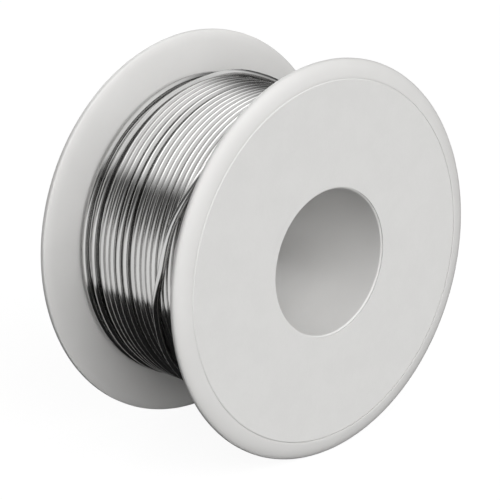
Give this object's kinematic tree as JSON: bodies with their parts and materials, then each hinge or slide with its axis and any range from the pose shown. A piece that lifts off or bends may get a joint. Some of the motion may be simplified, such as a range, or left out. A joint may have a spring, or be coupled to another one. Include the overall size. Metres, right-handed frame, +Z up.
{
  "type": "solder wire spool",
  "caption": "Flanged white plastic spool wound with bright solder wire, with a blank round label on the front flange and a plain through bore.",
  "frame": {"origin": "on the bore's axis, half way between the outermost faces of the two flanges", "axes": "+Z up as the spool stands on its rims; +Y along the bore, from the labelled front face to the rear face; +X to the right of someone who looks at the label"},
  "size_m": [0.055, 0.0282, 0.055],
  "materials": {
    "spool_plastic": "satin",
    "label_paper": "matte",
    "solder_wire": "gloss"
  },
  "bodies": {
    "root": {"front_spool_half": "spool_plastic", "rear_spool_half": "spool_plastic", "front_label": "label_paper", "solder_wire_coil": "solder_wire", "wire_start": "solder_wire"}
  },
  "joints": []
}
